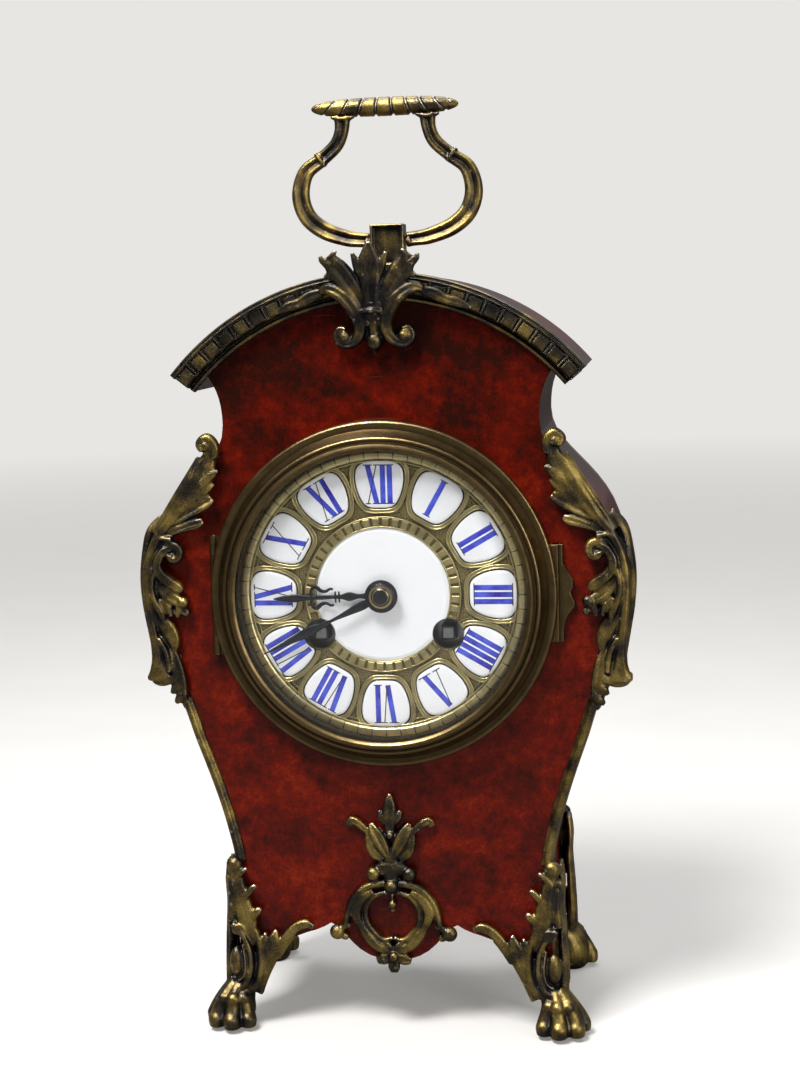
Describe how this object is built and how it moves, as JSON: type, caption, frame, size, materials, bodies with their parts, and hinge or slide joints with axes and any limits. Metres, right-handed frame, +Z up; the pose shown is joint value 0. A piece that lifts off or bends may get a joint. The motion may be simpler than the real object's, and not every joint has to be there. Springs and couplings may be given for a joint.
{
  "type": "table clock",
  "caption": "Waisted mantel clock with a red tortoiseshell case, cast bronze mounts, a swinging handle, an enamel cartouche dial and a spring-driven striking movement.",
  "frame": {"origin": "middle of the whole clock on the surface that it stands on", "axes": "+X to the right seen from the front, +Y to the back (the dial faces -Y), +Z up"},
  "size_m": [0.15, 0.08, 0.2837],
  "materials": {
    "tortoiseshell": "polished tortoiseshell veneer over red ground",
    "dark_wood": "dark stained wood, satin polish",
    "gilt_bronze": "worn gilt bronze, dark in the recesses",
    "aged_brass": "aged brass, darkened in the grooves",
    "movement_brass": "fine brushed brass",
    "steel": "polished steel",
    "bell_metal": "turned bell steel",
    "blackened_steel": "blackened steel, semi gloss",
    "white_enamel": "white glazed enamel",
    "glass": "clear bevelled glass"
  },
  "bodies": {
    "case": {"front_board": "tortoiseshell", "back_board": "dark_wood", "side_left": "tortoiseshell", "side_right": "tortoiseshell", "roof_board": "tortoiseshell", "floor_board": "dark_wood", "roof_moulding": "gilt_bronze", "crest_mount": "gilt_bronze", "handle_staple": "gilt_bronze", "shoulder_mount_left": "gilt_bronze", "shoulder_mount_right": "gilt_bronze", "edge_moulding_left": "gilt_bronze", "edge_moulding_right": "gilt_bronze", "foot_front_left": "gilt_bronze", "foot_front_right": "gilt_bronze", "foot_back_left": "gilt_bronze", "foot_back_right": "gilt_bronze", "apron_mount": "gilt_bronze", "bezel_base": "aged_brass", "bezel_hinge_pin": "steel", "dial_plate": "aged_brass", "dial_centre": "white_enamel", "numeral_cartouches": "white_enamel", "movement_drum": "movement_brass", "front_plate": "movement_brass", "back_plate": "movement_brass", "plate_pillars": "movement_brass", "strike_barrel": "movement_brass", "ratchet_clicks": "steel", "platform_plate": "movement_brass", "balance_cock": "movement_brass", "bell": "bell_metal", "bell_stand": "steel", "back_ring": "aged_brass", "back_door_pin": "steel"},
    "handle": {"handle_loop": "gilt_bronze", "handle_grip": "gilt_bronze"},
    "bezel": {"bezel_ring": "aged_brass", "bezel_glass": "glass"},
    "rear_door": {"back_door": "aged_brass", "back_door_glass": "glass", "back_door_knob": "aged_brass"},
    "minute_work": {"minute_hand": "blackened_steel", "hand_collet": "blackened_steel", "cannon_pinion": "steel", "centre_arbor": "steel"},
    "hour_work": {"hour_hand": "blackened_steel", "hour_wheel": "movement_brass"},
    "motion_wheel": {"minute_wheel": "movement_brass"},
    "intermediate": {"intermediate_wheel": "movement_brass"},
    "barrel": {"going_barrel": "movement_brass"},
    "going_winder": {"going_arbor": "steel", "going_ratchet": "steel"},
    "strike_winder": {"strike_arbor": "steel", "strike_ratchet": "steel"},
    "balance": {"balance_wheel": "movement_brass"},
    "hammer": {"strike_hammer": "steel"}
  },
  "joints": [
    {"name": "handle_swing", "type": "hinge", "parent": "case", "child": "handle", "pos_m": [0, 0, 0.24], "axis": [-1, 0, 0], "range_deg": [-80, 100]},
    {"name": "bezel_hinge", "type": "hinge", "parent": "case", "child": "bezel", "pos_m": [-0.051, -0.0307, 0.136], "axis": [0, 0, -1], "range_deg": [0, 90]},
    {"name": "rear_door_hinge", "type": "hinge", "parent": "case", "child": "rear_door", "pos_m": [0.047, 0.0305, 0.136], "axis": [0, 0, -1], "range_deg": [0, 100]},
    {"name": "minute_turn", "type": "hinge", "parent": "case", "child": "minute_work", "pos_m": [0, -0.034, 0.136], "axis": [0, 1, 0], "continuous": true},
    {"name": "hour_turn", "type": "hinge", "parent": "case", "child": "hour_work", "pos_m": [0, -0.033, 0.136], "axis": [0, 1, 0], "continuous": true},
    {"name": "motion_wheel_turn", "type": "hinge", "parent": "case", "child": "motion_wheel", "pos_m": [0, -0.024, 0.148], "axis": [0, 1, 0], "continuous": true},
    {"name": "intermediate_turn", "type": "hinge", "parent": "case", "child": "intermediate", "pos_m": [0.01316, -0.004, 0.14256], "axis": [0, 1, 0], "continuous": true},
    {"name": "barrel_turn", "type": "hinge", "parent": "case", "child": "barrel", "pos_m": [0.01919, -0.009, 0.1242], "axis": [0, 1, 0], "continuous": true},
    {"name": "going_winding", "type": "hinge", "parent": "case", "child": "going_winder", "pos_m": [0.01919, -0.029, 0.1242], "axis": [0, 1, 0], "continuous": true},
    {"name": "strike_winding", "type": "hinge", "parent": "case", "child": "strike_winder", "pos_m": [-0.01919, -0.029, 0.1242], "axis": [0, 1, 0], "continuous": true},
    {"name": "balance_swing", "type": "hinge", "parent": "case", "child": "balance", "pos_m": [0, 0.013, 0.1625], "axis": [0, 1, 0], "range_deg": [-135, 135], "stiffness_Nm_per_rad": 0.000005},
    {"name": "hammer_lift", "type": "hinge", "parent": "case", "child": "hammer", "pos_m": [-0.033, 0.011, 0.148], "axis": [0, 1, 0], "range_deg": [0, 14], "stiffness_Nm_per_rad": 0.003, "springref_deg": -11.46}
  ],
  "couplings": [
    {"joint": "hour_turn", "follows": "minute_turn", "ratio": 0.083333},
    {"joint": "motion_wheel_turn", "follows": "minute_turn", "ratio": -0.33333},
    {"joint": "intermediate_turn", "follows": "minute_turn", "ratio": -0.16667},
    {"joint": "barrel_turn", "follows": "minute_turn", "ratio": 0.025}
  ]
}
